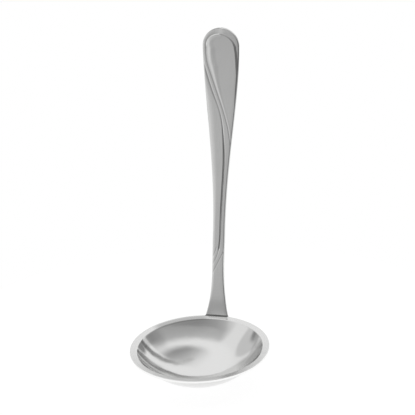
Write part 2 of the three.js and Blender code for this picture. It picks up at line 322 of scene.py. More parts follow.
def path_distance(points, path):
    """Distance of each point from a path of straight pieces, in a plane."""
    start, step = path[:-1], np.diff(path, axis=0)
    squared = (step**2).sum(1)
    found, batch = np.empty(len(points)), 4000
    for first in range(0, len(points), batch):
        part = points[first:first + batch, None, :] - start
        share = np.clip((part * step).sum(2) / squared, 0, 1)
        gap = part - share[..., None] * step
        found[first:first + batch] = np.sqrt((gap**2).sum(2).min(1))
    return found


# Bowl
def arc(centre_radius, centre_height, radius, start, end, steps):
    """Points of an arc in the plane of radius and height, with angles counted from straight down."""
    angle = np.linspace(start, end, steps + 1)
    return np.stack([centre_radius + radius * np.sin(angle), centre_height - radius * np.cos(angle)], 1)


def fit_wall(bowl):
    """Sphere of the wall's outside: it passes the edge of the resting face and touches the lip's bend."""
    resting = bowl.resting_diameter / 2
    bend_radius = bowl.rim_diameter / 2 - bowl.lip_flat
    bend_height = bowl.height - bowl.sheet - bowl.lip_fillet
    fillet = bowl.lip_fillet
    reach = bend_radius**2 + bend_height**2 - resting**2 - fillet**2
    lead = bend_height**2 - fillet**2
    rest = reach**2 / 4 - (fillet * resting) ** 2
    centre = (reach * bend_height - math.sqrt((reach * bend_height) ** 2 - 4 * lead * rest)) / (2 * lead)
    return Values(
        bend_radius=bend_radius,
        bend_height=bend_height,
        centre=centre,
        resting=resting,
        radius=math.hypot(resting, centre),
        top=math.atan2(bend_radius, centre - bend_height),
    )


def bowl_profile(bowl):
    """Half section of the bowl, from the middle of its underside round the lip to the middle inside."""
    wall = fit_wall(bowl)
    sheet, edge, lean = bowl.sheet, bowl.lip_round, bowl.lip_lean
    rim, turn = bowl.rim_diameter / 2, wall.top + math.pi
    outer_start = math.asin(wall.resting / wall.radius)
    inside, bend = wall.radius - sheet, bowl.lip_bend
    start = wall.bend_radius

    # The lip's slope and the place of its bend depend on each other, and settle in a few rounds
    for _ in range(12):
        brink = bowl.height - math.tan(lean) * (rim - edge - start + bend * math.sin(lean))
        drop = wall.centre - brink + bend * math.cos(lean)
        start = math.sqrt((inside + bend) ** 2 - drop**2)

    inner_turn = math.atan2(start, drop) + math.pi
    upper = np.array([[rim - edge, bowl.height], [start - bend * math.sin(lean), brink]])
    return np.concatenate([
        [[0, 0], [wall.resting / 2, 0]],
        arc(0, wall.centre, wall.radius, outer_start, wall.top, steps=40),
        arc(wall.bend_radius, wall.bend_height, bowl.lip_fillet, turn, math.pi, steps=8)[1:],
        arc(rim - edge, bowl.height - sheet + edge, edge, 0, math.pi / 2, steps=8),
        arc(rim - edge, bowl.height - edge, edge, math.pi / 2, math.pi, steps=8),
        upper[0] + (upper[1] - upper[0]) * np.linspace(0, 1, 12)[1:-1, None],
        arc(start, wall.centre - drop, bend, math.pi + lean, inner_turn, steps=12),
        arc(0, wall.centre, inside, inner_turn - math.pi, 0, steps=64)[1:],
    ])


class Nodes:
    """Short way to add linked nodes to a tree."""

    def __init__(self, tree):
        self.tree = tree

    def add(self, kind, inputs=None, **settings):
        node = self.tree.nodes.new(kind)
        for name, value in settings.items():
            setattr(node, name, value)
        for name, value in (inputs or {}).items():
            self.put(node.inputs[name], value)
        return node

    def put(self, socket, value):
        if isinstance(value, bpy.types.NodeSocket):
            self.tree.links.new(value, socket)
        else:
            socket.default_value = value

    def get(self, kind, inputs=None, **settings):
        return self.add(kind, inputs, **settings).outputs[0]

    def math(self, operation, *values):
        return self.get("ShaderNodeMath", dict(enumerate(values)), operation=operation)

    def fold(self, operation, result, *values):
        for value in values:
            result = self.math(operation, result, value)
        return result

    def plus(self, *values):
        return self.fold("ADD", *values)

    def times(self, *values):
        return self.fold("MULTIPLY", *values)

    def most(self, *values):
        return self.fold("MAXIMUM", *values)

    def spread(self, value, low, high, to_low, to_high, kind="SMOOTHSTEP"):
        inputs = {"Value": value, "From Min": low, "From Max": high, "To Min": to_low, "To Max": to_high}
        return self.get("ShaderNodeMapRange", inputs, interpolation_type=kind)

    def vector(self, operation, *values):
        node = self.add("ShaderNodeVectorMath", dict(enumerate(values)), operation=operation)
        return node.outputs["Value" if operation in ("LENGTH", "DISTANCE") else "Vector"]

    def split(self, vector):
        return self.add("ShaderNodeSeparateXYZ", {0: vector}).outputs

    def flat(self, place):
        return self.vector("MULTIPLY", place, (1, 1, 0))

    def noise(self, place, scale, detail):
        return self.get("ShaderNodeTexNoise", {"Vector": place, "Scale": scale, "Detail": detail})

    def mix(self, share, first, second):
        node = self.add("ShaderNodeMix", {"Factor": share, 6: first, 7: second}, data_type="RGBA")
        return node.outputs[2]

    def bump(self, height, strength, distance, normal=None):
        node = self.add("ShaderNodeBump", {"Height": height, "Strength": strength, "Distance": distance})
        if normal is not None:
            self.put(node.inputs["Normal"], normal)
        return node.outputs[0]


def new_tree(name, inputs, output):
    """Geometry tree with inputs of the given names and kinds, and one output."""
    tree = bpy.data.node_groups.new(name, "GeometryNodeTree")
    for label, kind in inputs.items():
        tree.interface.new_socket(name=label, in_out="INPUT", socket_type="NodeSocket" + kind)
    tree.interface.new_socket(name=output, in_out="OUTPUT", socket_type="NodeSocketGeometry")
    nodes = Nodes(tree)
    return tree, nodes, nodes.add("NodeGroupInput").outputs


def close_tree(nodes, geometry, steel, output):
    """Gives what a tree has made smooth shading and its steel."""
    shaded = nodes.get("GeometryNodeSetShadeSmooth", {"Geometry": geometry})
    finished = nodes.get("GeometryNodeSetMaterial", {"Geometry": shaded, "Material": steel})
    nodes.add("NodeGroupOutput", {output: finished})


def lathe_tree():
    """Turns the points of a half section round the Z axis."""
    tree, nodes, given = new_tree("Bowl lathe", {
        "Section": "Geometry", "Section points": "Int", "Steps around": "Int", "Steel": "Material",
    }, "Bowl")
    across = nodes.math("ADD", given["Steps around"], 1)
    grid = nodes.get("GeometryNodeMeshGrid", {"Vertices X": given["Section points"], "Vertices Y": across})
    index = nodes.get("GeometryNodeInputIndex")
    row = nodes.math("FLOOR", nodes.math("DIVIDE", nodes.math("ADD", index, 0.5), across))
    column = nodes.math("SUBTRACT", index, nodes.times(row, across))
    share = nodes.math("DIVIDE", column, given["Steps around"])
    angle = nodes.times(share, 2 * math.pi)
    position = nodes.get("GeometryNodeInputPosition")
    sample = nodes.get("GeometryNodeSampleIndex", {
        "Geometry": given["Section"], "Value": position, "Index": row,
    }, data_type="FLOAT_VECTOR", domain="POINT")
    point = nodes.split(sample)
    place = nodes.get("ShaderNodeCombineXYZ", {
        "X": nodes.times(point["X"], nodes.math("COSINE", angle)),
        "Y": nodes.times(point["X"], nodes.math("SINE", angle)),
        "Z": point["Z"],
    })
    placed = nodes.get("GeometryNodeSetPosition", {"Geometry": grid, "Position": place})
    merged = nodes.get("GeometryNodeMergeByDistance", {"Geometry": placed, "Distance": 0.002 * MM})
    close_tree(nodes, merged, given["Steel"], "Bowl")
    return tree


def weld_tree():
    """Puts one flat fused spot on each point, facing away from the middle of the wall's sphere."""
    tree, nodes, given = new_tree("Spot welds", {
        "Places": "Geometry", "Wall centre": "Vector", "Radius": "Float", "Half thickness": "Float",
        "Steel": "Material",
    }, "Welds")
    ball = nodes.get("GeometryNodeMeshUVSphere", {"Segments": 40, "Rings": 14, "Radius": 1.0})
    position = nodes.get("GeometryNodeInputPosition")
    away = nodes.vector("SUBTRACT", position, given["Wall centre"])
    turn = nodes.get("FunctionNodeAlignRotationToVector", {"Vector": away}, axis="Z")
    size = nodes.get("ShaderNodeCombineXYZ", {
        "X": given["Radius"], "Y": given["Radius"], "Z": given["Half thickness"],
    })
    spots = nodes.get("GeometryNodeInstanceOnPoints", {
        "Points": given["Places"], "Instance": ball, "Rotation": turn, "Scale": size,
    })
    real = nodes.get("GeometryNodeRealizeInstances", {"Geometry": spots})
    close_tree(nodes, real, given["Steel"], "Welds")
    return tree


def new_object(name, data):
    item = bpy.data.objects.new(name, data)
    bpy.context.scene.collection.objects.link(item)
    return item


def run_tree(name, points, tree, values):
    """Plain mesh that a tree makes from loose points, with its inputs set by name."""
    source = bpy.data.meshes.new(name + "_points")
    source.from_pydata([tuple(map(float, point)) for point in points], [], [])
    maker = new_object(name + "_points", source)
    modifier = maker.modifiers.new(tree.name, "NODES")
    modifier.node_group = tree
    for item in tree.interface.items_tree:
        if item.name in values:
            modifier[item.identifier] = values[item.name]
    maker.update_tag()
    graph = bpy.context.evaluated_depsgraph_get()
    mesh = bpy.data.meshes.new_from_object(maker.evaluated_get(graph))
    mesh.name = name
    bpy.data.objects.remove(maker)
    bpy.data.meshes.remove(source)
    return mesh


def add_piece(name, mesh, slot, *nodes):
    """Puts a finished mesh in the scene in place of the nodes that it stands for."""
    piece = new_object(name, mesh)
    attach(piece, "root")
    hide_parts(*nodes)


# Handle
def bezier(points, share):
    a, b, c, d = (np.array(point) for point in points)
    t = share[:, None]
    place = (1 - t) ** 3 * a + 3 * (1 - t) ** 2 * t * b + 3 * (1 - t) * t**2 * c + t**3 * d
    heading = (1 - t) ** 2 * (b - a) + 2 * (1 - t) * t * (c - b) + t**2 * (d - c)
    return place, heading / np.linalg.norm(heading, axis=1)[:, None]


def trace_spine(bowl, handle):
    """Line of the handle's front face seen from the side, from the end of the tongue to the tip."""
    wall = fit_wall(bowl)
    seat = wall.radius + handle.seat_gap
    end = math.acos((wall.centre - handle.tongue_end) / seat)
    leave = end + handle.seat_length / seat
    angle = np.linspace(end, leave, 400)
    on_wall = np.stack([seat * np.sin(angle), wall.centre - seat * np.cos(angle)], 1)
    wall_heading = np.stack([np.cos(angle), np.sin(angle)], 1)

    def lean(away, length):
        return np.array([math.sin(away), math.cos(away)]) * length

    start = on_wall[-1]
    lip = np.array([bowl.rim_diameter / 2 + handle.lip_gap, bowl.height - bowl.sheet / 2])
    tip = lip + lean((handle.base_lean + handle.tip_lean) / 2, handle.length)
    hold, third = np.linalg.norm(lip - start) / 2, handle.length / 3
    share = np.linspace(0, 1, 2000)
    foot, foot_heading = bezier([
        start, start + lean(math.pi / 2 - leave, hold), lip - lean(handle.base_lean, hold), lip,
    ], share)
    stem, stem_heading = bezier([
        lip, lip + lean(handle.base_lean, third), tip - lean(handle.tip_lean, third), tip,
    ], share)
    place = np.concatenate([on_wall, foot[1:], stem[1:]])
    heading = np.concatenate([wall_heading, foot_heading[1:], stem_heading[1:]])
    gone = np.concatenate([[0], np.cumsum(np.linalg.norm(np.diff(place, axis=0), axis=1))])
    tongue = gone[len(on_wall) + len(foot) - 2]
    return Values(
        past=gone - tongue,
        place=place,
        heading=heading,
        tongue=tongue,
        stem=gone[-1] - tongue,
        neck=gone[-1] - tongue - handle.neck_height,
        weld_angle=(end + leave) / 2,
        weld_past=handle.seat_length / 2 - tongue,
        seat=seat,
        wall=wall,
    )


def half_width(handle, spine, past):
    """Half the handle's width at a distance past the lip, which is below nought on the tongue."""
    from_tip = spine.stem - past
    taper = spine.stem - handle.taper_end - handle.tip_round
    share = np.clip((from_tip - handle.tip_round) / taper, 0, 1)
    blade = lerp(handle.width, handle.neck_width, ease(share**handle.taper_power))
    blade = blade * rounded_end(from_tip, handle.tip_round)
    flare = np.clip(1 - past / handle.flare_length, 0, 1) ** handle.flare_power
    foot = lerp(handle.neck_width, handle.foot_width, flare)
    spread = rounded_end(-past, spine.tongue / 2)
    tongue = lerp(handle.foot_width, handle.tongue_width, spread)
    tongue = tongue * rounded_end(spine.tongue + past, handle.tongue_round)
    return np.where(past >= handle.neck_height, blade, np.where(past >= 0, foot, tongue)) / 2


def thickness(handle, spine, past):
    above = lerp(handle.tip_thickness, handle.neck_thickness, ease((spine.stem - past) / spine.neck))
    thinning = (handle.neck_height - past) / (handle.neck_height + spine.tongue - handle.seat_length)
    below = lerp(handle.neck_thickness, handle.tongue_thickness, np.clip(thinning, 0, 1))
    return np.where(past >= handle.neck_height, above, below)


def swirl_path(pairs, handle, spine, steps):
    """A swirl line in the plane of across and past the lip."""
    share = np.linspace(pairs[0][0], pairs[-1][0], steps)
    past = spine.stem - share * spine.neck
    return np.stack([follow(pairs, share) * half_width(handle, spine, past), past], 1)


def panel_left(handle, spine, from_tip):
    """Left edge of the panel: one side of its arch, then its swirl line."""
    bend = rounded_end(from_tip - handle.panel_border, ARCH_LEFT.length)
    arch = -ARCH_LEFT.start - ARCH_LEFT.reach * bend
    swirl = follow(PANEL_LINE, from_tip / spine.neck) * half_width(handle, spine, spine.stem - from_tip)
    return np.maximum(arch, swirl)


def panel_right(handle, spine, from_tip):
    """Right edge of the panel: the other side of its arch, which runs out into the edge of the handle."""
    reach = ARCH_RIGHT.reach + ARCH_RIGHT.widening * np.clip(from_tip - ARCH_RIGHT.length, 0, None)
    arch = reach * rounded_end(from_tip - handle.panel_border, ARCH_RIGHT.length) - ARCH_RIGHT.start
    inset = along(PANEL_INSET, from_tip / spine.neck)
    return np.minimum(arch, half_width(handle, spine, spine.stem - from_tip) - inset)


def edge_distances(handle, spine, points, tip_steps, tongue_steps):
    """Distances of points on a face from its left and its right outline."""
    past = np.linspace(-spine.tongue, spine.stem, OUTLINE_POINTS)
    past = np.union1d(past, spine.stem - handle.tip_round * quarter_turn(tip_steps))
    past = np.union1d(past, handle.tongue_round * quarter_turn(tongue_steps) - spine.tongue)
    edge = half_width(handle, spine, past)
    return [path_distance(points, np.stack([side * edge, past], 1)) for side in (-1, 1)]


def front_depth(handle, spine, across, past):
    """Depth of the front face below its plain line, and a mark from 0 to 1 for painted shade: how far it lies
    in a groove, and the crevice by the lip.
    """
    points = np.stack([across, past], 1)
    from_tip = spine.stem - past
    share = from_tip / spine.neck
    half = half_width(handle, spine, past)
    left, right = edge_distances(handle, spine, points, tip_steps=60, tongue_steps=40)
    bevel = along(LEFT_BEVEL_DEPTH, share) * fall(left, along(LEFT_BEVEL_WIDTH, share), LEFT_BEVEL_POWER)
    bevel = bevel + along(RIGHT_BEVEL_DEPTH, share) * fall(right, RIGHT_BEVEL_WIDTH)

    # Panel: raised above its border by a step, with a long slope on its left and a short one on its right
    top, end = handle.panel_border, PANEL_LINE[-1][0] * spine.neck
    arch_end = ARCH_END * spine.neck
    bend = top + ARCH_RIGHT.length * quarter_turn(80)

    def to_side(side, stop, steps):
        run = np.concatenate([bend[:-1], np.linspace(bend[-1], stop, steps)])
        return path_distance(points, np.stack([side(handle, spine, run), spine.stem - run], 1))

    to_left, to_right = to_side(panel_left, end, 160), to_side(panel_right, arch_end, 60)
    inside = (from_tip > top) & (across > panel_left(handle, spine, from_tip))
    inside &= (across < panel_right(handle, spine, from_tip)) | (from_tip > arch_end)
    inside &= from_tip < end
    to_panel = np.minimum(to_left, to_right)
    rise, slope = along(PANEL_RISE, share), along(PANEL_SLOPE, share)
    arch_rise, arch_slope = along(ARCH_RISE, share), along(ARCH_SLOPE, share)
    step = along(STEP_RISE, share) * (1 - smooth(across, *STEP_FADE))
    left_side = rise * (1 - smooth(to_left, 0, slope)) + step * (1 - np.clip(to_left / STEP_WIDTH, 0, 1))
    crest = smooth(to_left, 0.2 * slope, slope) * (1 - smooth(to_left, slope, 2 * slope))
    right_side = arch_rise * (1 - smooth(to_right, 0, arch_slope))
    within = np.maximum(left_side, right_side) - CREST_SHARE * rise * crest
    rightward = smooth(across, *ARCH_FADE) * (1 - smooth(share, *ARCH_RUN_OUT))
    border = lerp(rise + step, arch_rise, rightward) * (1 - smooth(share, *BORDER_RUN_OUT))
    outer = BORDER.lift * (1 - rightward) * (1 - fall(to_panel, BORDER.width))
    panel = np.where(inside, within, np.maximum(border - outer, 0))

    # Ribbon: a groove with a long flank on its left, which closes at the neck
    to_ribbon = path_distance(points, swirl_path(RIBBON_LINE, handle, spine, 320))
    on_left = across < follow(RIBBON_LINE, share) * half
    flank = np.where(on_left, along(RIBBON_FLANK, share), along(RIBBON_RIGHT_FLANK, share))
    ribbon = along(RIBBON_DEPTH, share) * fall(to_ribbon, flank)

    # Ends of the swirl, which wrap the neck
    to_tail = path_distance(points, swirl_path(TAIL_LINE, handle, spine, 80))
    to_curl = path_distance(points, swirl_path(CURL_LINE, handle, spine, 60))
    tail = SWIRL_ENDS.tail * fall(to_tail, SWIRL_ENDS.width)
    curl = SWIRL_ENDS.curl * fall(to_curl, SWIRL_ENDS.width)

    groove = np.maximum.reduce([ribbon, tail, curl])
    inset = np.where(right < left, along(RIGHT_ROUND, share), handle.edge_round)
    edge_depth = edge_place(across, half) * thickness(handle, spine, past)
    depth = bevel + panel + groove
    depth = round_off(depth, np.maximum(edge_depth, depth), np.minimum(left, right), inset)
    # Painted shade in the crevice where the handle passes the lip, carried with the grooves' mark
    crevice_shade = 1 - smooth(past, *CREVICE_SHADE)
    return depth, np.maximum(np.clip(groove / FULL_GROOVE, 0, MOST_GROOVE), crevice_shade)


def edge_place(across, half):
    """Place of the outline as a share of the thickness behind the front, from the left to the right edge."""
    return lerp(LEFT_EDGE, RIGHT_EDGE, smooth(across / half, -0.8, 0.8))


def round_off(depth, edge_depth, to_edge, inset):
    """Depth that falls away in a round from the inset to the edge depth at the outline."""
    near = np.clip(1 - to_edge / inset, 0, 1)
    return depth + (edge_depth - depth) * (1 - np.sqrt(1 - near**2))


def rear_depth(handle, spine, across, past):
    """How far the rear face lies in from its plain line, with a round dent behind each weld."""
    points = np.stack([across, past], 1)
    to_edge = np.minimum(*edge_distances(handle, spine, points, tip_steps=40, tongue_steps=0))
    dent = np.zeros(len(across))
    for side in (-1, 1):
        away = np.hypot(across - side * handle.weld_spacing / 2, past - spine.weld_past)
        dent = np.maximum(dent, 1 - smooth(away, DENT.flat, DENT.radius))
    depth = REAR_BEVEL.depth * fall(to_edge, REAR_BEVEL.width) + DENT.depth * dent
    half = half_width(handle, spine, past)
    edge_depth = (1 - edge_place(across, half)) * thickness(handle, spine, past) - REAR_BEVEL.seam
    return round_off(depth, edge_depth, to_edge, REAR_ROUND * handle.edge_round), dent


def handle_mesh(bowl, handle):
    """Closed skin over sections of the handle, each with its front and its rear."""
    spine = trace_spine(bowl, handle)
    # The round end of the tongue gets a sixth of the tip's sections
    quarter = quarter_turn(TIP_SECTIONS + 1)[1:]
    past = [handle.tongue_round * quarter[5::6] - spine.tongue]
    for end, step in STRETCHES:
        start = past[-1][-1]
        stop = spine.stem - handle.tip_round if end is None else end * MM
        past.append(np.linspace(start, stop, round((stop - start) / (step * MM)) + 1)[1:])
    past.append(spine.stem - handle.tip_round * quarter[-2::-1])
    past = np.concatenate(past)
    rows = len(past)
    half = half_width(handle, spine, past)
    thick = thickness(handle, spine, past)
    right_round = along(RIGHT_ROUND, (spine.stem - past) / spine.neck)
    corner = quarter_turn(CORNER_POINTS)

    def across_face(inner, left_in, right_in):
        most = 0.45 * half
        left_in, right_in = np.minimum(left_in, most), np.minimum(right_in, most)
        left = -half[:, None] + left_in[:, None] * corner
        right = half[:, None] - right_in[:, None] * corner
        share = np.linspace(0, 1, inner + 2)[1:-1]
        middle = lerp((left_in - half)[:, None], (half - right_in)[:, None], share)
        return np.concatenate([left, middle, right[:, ::-1]], 1)

    rear_round = REAR_ROUND * handle.edge_round
    front_across = across_face(FRONT_POINTS, handle.edge_round, right_round)
    rear_across = across_face(REAR_POINTS, rear_round, rear_round)[:, ::-1]

    def relief(face_depth, across):
        depth, mark = face_depth(handle, spine, across.ravel(), np.repeat(past, across.shape[1]))
        return depth.reshape(rows, -1), mark.reshape(rows, -1)

    front, groove = relief(front_depth, front_across)
    rear, dent = relief(rear_depth, rear_across)
    across = np.concatenate([front_across, rear_across], 1)
    depth = np.concatenate([front, thick[:, None] - rear], 1)
    groove = np.concatenate([groove, np.zeros_like(dent)], 1)
    dent = np.concatenate([np.zeros_like(front), dent], 1)
    kick = KICK.depth * smooth(past, 0, KICK.peak) * (1 - smooth(past, KICK.peak, KICK.end))
    depth = depth + kick[:, None]

    def at(column):
        return np.interp(past, spine.past, column)[:, None]

    out, up = at(spine.place[:, 0]), at(spine.place[:, 1])
    heading_out, heading_up = at(spine.heading[:, 0]), at(spine.heading[:, 1])
    sway = along(SWAY, (spine.stem - past) / spine.neck)[:, None]
    cupped = 1 - smooth(past, *CUP_FADE)[:, None]
    turn = np.arcsin(across / out) * cupped
    face = lerp(out, np.sqrt(out**2 - across**2), cupped)
    points = np.stack([
        across + sway + depth * heading_up * np.sin(turn),
        face + depth * heading_up * np.cos(turn),
        up - depth * heading_out,
    ], 2)
    count = points.shape[1]
    index = np.arange(rows * count).reshape(rows, count)
    beside = np.roll(index, -1, 1)
    quads = np.stack([index[:-1], beside[:-1], beside[1:], index[1:]], 2).reshape(-1, 4)
    ends = points[[0, -1]].mean(1)
    low, high = rows * count, rows * count + 1
    caps = [(low, b, a) for a, b in zip(index[0], beside[0])]
    caps += [(high, a, b) for a, b in zip(index[-1], beside[-1])]
    mesh = bpy.data.meshes.new("handle")
    vertices = np.concatenate([points.reshape(-1, 3), ends])
    mesh.from_pydata(vertices.tolist(), [], quads.tolist() + [tuple(map(int, cap)) for cap in caps])
    # The groove mark carries painted shade for the grooves and the crevice by the lip; the dent mark carries
    # the heat tint round the welds
    for name, values in (("groove", groove), ("dent", dent)):
        attribute = mesh.attributes.new(name, "FLOAT", "POINT")
        attribute.data.foreach_set("value", np.append(values.ravel(), [0, 0]).astype(np.float32))
    mesh.shade_smooth()
    mesh.update()
    return mesh


# Steel
def clear_nodes(owner):
    """Empties the nodes of a material or world."""
    owner.use_nodes = True
    owner.node_tree.nodes.clear()
    return Nodes(owner.node_tree)


def new_material(name):
    material = bpy.data.materials.new(name)
    return material, clear_nodes(material)


def close_material(nodes, colour, roughness, normal):
    """Gives the nodes of a material bare metal with the given looks."""
    looks = {"Metallic": 1.0, "Base Color": colour, "Roughness": roughness, "Normal": normal}
    nodes.add("ShaderNodeOutputMaterial", {"Surface": nodes.get("ShaderNodeBsdfPrincipled", looks)})


def rgba(colour, level=1.0):
    return (*(channel * level for channel in colour), 1)


def bowl_steel(steel):
    """Mirror polished sheet with fine turning marks round the axis and faint wipe marks, with a painted
    highlight on the lip's outer edge and painted shade on the lip and the inside of the wall.
    """
    material, nodes = new_material("bowl_steel")
    given = nodes.add("ShaderNodeTexCoord").outputs
    place = given["Object"]
    axis = nodes.split(place)
    radius = nodes.vector("LENGTH", nodes.flat(place))
    turning = {"W": radius, "Scale": 2600.0, "Detail": 3.0}
    rings = nodes.get("ShaderNodeTexNoise", turning, noise_dimensions="1D")
    wipes = nodes.noise(place, 90.0, 4.0)
    rough = nodes.plus(
        nodes.spread(rings, 0.3, 0.7, -0.015, 0.02, "LINEAR"),
        nodes.spread(wipes, 0.35, 0.7, 0, 0.035, "LINEAR"),
        nodes.spread(radius, 29.8 * MM, 30.4 * MM, 0, 0.1),
        steel.bowl_roughness)

    colour = nodes.mix(wipes, rgba(steel.bowl_colour, 0.97), rgba(steel.bowl_colour, 1.02))
    # Painted highlight: the lip's trimmed outer edge is brighter than the bowl, standing in for the white
    # floor it reflects
    edge_highlight = nodes.spread(radius, 32.8 * MM, 32.95 * MM, 0, 1)
    colour = nodes.mix(edge_highlight, colour, rgba(steel.edge_highlight_colour))

    # Painted shade on the lip close in front of the handle, in the crevice where the handle's foot passes it
    behind = nodes.times(
        nodes.spread(nodes.math("ABSOLUTE", axis["X"]), 5.4 * MM, 5.8 * MM, 1, 0),
        nodes.spread(axis["Y"], 31.5 * MM, 32.1 * MM, 0, 0.85))

    # Painted shade on the inside of the wall at the front and near its top, standing in for the dark bands it
    # reflects
    upper_wall_shade = nodes.times(
        nodes.spread(radius, 25.5 * MM, 27.5 * MM, 0, 0.27),
        nodes.spread(axis["Y"], 8 * MM, 16 * MM, 1, 0))
    front = nodes.math("SUBTRACT", axis["Y"], nodes.times(axis["X"], 0.28))
    wall_shade = nodes.times(
        nodes.spread(radius, 16 * MM, 20 * MM, 0, 0.24),
        nodes.spread(front, 0, 4 * MM, 1, 0))
    upward = nodes.split(given["Normal"])["Z"]
    wall_shade = nodes.times(
        nodes.most(wall_shade, upper_wall_shade),
        nodes.spread(radius, *LIP_START, 1, 0),
        nodes.spread(upward, 0, 0.2, 0, 1))

    # Painted shade on a stretch of the lip at the back on the left, standing in for a dark reflection
    apart = nodes.vector("DISTANCE", place, (-16.5 * MM, 26.5 * MM, 15.5 * MM))
    stretch = nodes.times(
        nodes.spread(apart, 10.5 * MM, 16.5 * MM, 0.38, 0),
        nodes.spread(radius, *LIP_START, 0, 1),
        nodes.spread(radius, 31.8 * MM, 32.7 * MM, 1, 0))
    # Each painted shade darkens the steel towards a tenth of its colour
    for share in (behind, wall_shade, stretch):
        colour = nodes.mix(share, colour, rgba(steel.bowl_colour, 0.1))

    wavy = nodes.bump(nodes.noise(place, 130.0, 1.0), 0.08, 1 * MM)
    close_material(nodes, colour, rough, nodes.bump(rings, 0.035, 0.1 * MM, wavy))
    return material


def handle_steel(steel):
    """Polished bar with fine lines along it, rougher and darkened with painted shade in the grooves and the
    crevice by the lip, and tinted with heat colour round the weld dents.
    """
    material, nodes = new_material("handle_steel")
    place = nodes.add("ShaderNodeTexCoord").outputs["Object"]
    drawn = nodes.get("ShaderNodeMapping", {"Vector": place, "Scale": (2400.0, 700.0, 16.0)})
    lines = nodes.noise(drawn, 1.0, 3.0)
    wipes = nodes.noise(place, 110.0, 4.0)
    groove = nodes.add("ShaderNodeAttribute", attribute_name="groove").outputs["Fac"]
    dent = nodes.add("ShaderNodeAttribute", attribute_name="dent").outputs["Fac"]
    plain = nodes.mix(wipes, rgba(steel.handle_colour, 0.96), rgba(steel.handle_colour, 1.02))
    # Painted shade: the grooves and the crevice by the lip are darkened towards a quarter of the steel's
    # colour, and also made rougher
    groove_shade = nodes.spread(groove, 0.45, 1.0, 0, 0.8)
    dark = nodes.mix(groove_shade, plain, rgba(steel.handle_colour, 0.25))
    colour = nodes.mix(nodes.times(dent, 0.5), dark, rgba(DENT_TINT))
    rough = nodes.plus(
        nodes.spread(lines, 0.3, 0.7, -0.03, 0.05, "LINEAR"),
        nodes.times(groove_shade, 0.15),
        nodes.times(dent, 0.2),
        steel.handle_roughness)
    close_material(nodes, colour, rough, nodes.bump(lines, 0.05, 0.1 * MM))
    return material


def weld_steel(steel):
    """Dull fused metal with heat colours."""
    material, nodes = new_material("weld_steel")
    place = nodes.add("ShaderNodeTexCoord").outputs["Object"]
    grain = nodes.noise(place, 1600.0, 4.0)
    heat = nodes.mix(grain, rgba(steel.weld_colour, 0.8), rgba(WELD_TINT))
    rough = nodes.spread(grain, 0.3, 0.7, 0.35, 0.6, "LINEAR")
    close_material(nodes, heat, rough, nodes.bump(grain, 0.3, 0.1 * MM))
    return material


# Studio
def make_floor(stage):
    mesh = bpy.data.meshes.new("floor")
    angle = np.linspace(0, 2 * math.pi, FLOOR_CORNERS + 1)[:-1]
    ring = np.stack([np.cos(angle), np.sin(angle), 0 * angle], 1) * stage.floor_radius
    mesh.from_pydata(ring.tolist(), [], [tuple(range(FLOOR_CORNERS))])
    floor = new_object("floor", mesh)
    material, nodes = new_material("pale_floor")
    ray = nodes.add("ShaderNodeLightPath").outputs
    seen = nodes.most(ray["Is Camera Ray"], ray["Is Glossy Ray"], ray["Is Transmission Ray"])
    matt = nodes.get("ShaderNodeBsdfDiffuse", {"Color": rgba(stage.floor_colour)})
    white = nodes.get("ShaderNodeEmission", {"Strength": nodes.times(seen, stage.floor_white)})
    pale = nodes.get("ShaderNodeAddShader", {0: matt, 1: white})
    nodes.add("ShaderNodeOutputMaterial", {"Surface": pale})
    mesh.materials.append(material)


def grey_ramp(nodes, value, stops):
    """Grey level along a value from -1 to 1, through pairs of value and level."""
    node = nodes.add("ShaderNodeValToRGB", {"Fac": nodes.spread(value, -1, 1, 0, 1, "LINEAR")})
    elements = node.color_ramp.elements
    while len(elements) < len(stops):
        elements.new(0.5)
    for element, (place, level) in zip(elements, stops):
        element.position = (place + 1) / 2
        element.color = rgba((level,) * 3)
    return node.outputs[0]


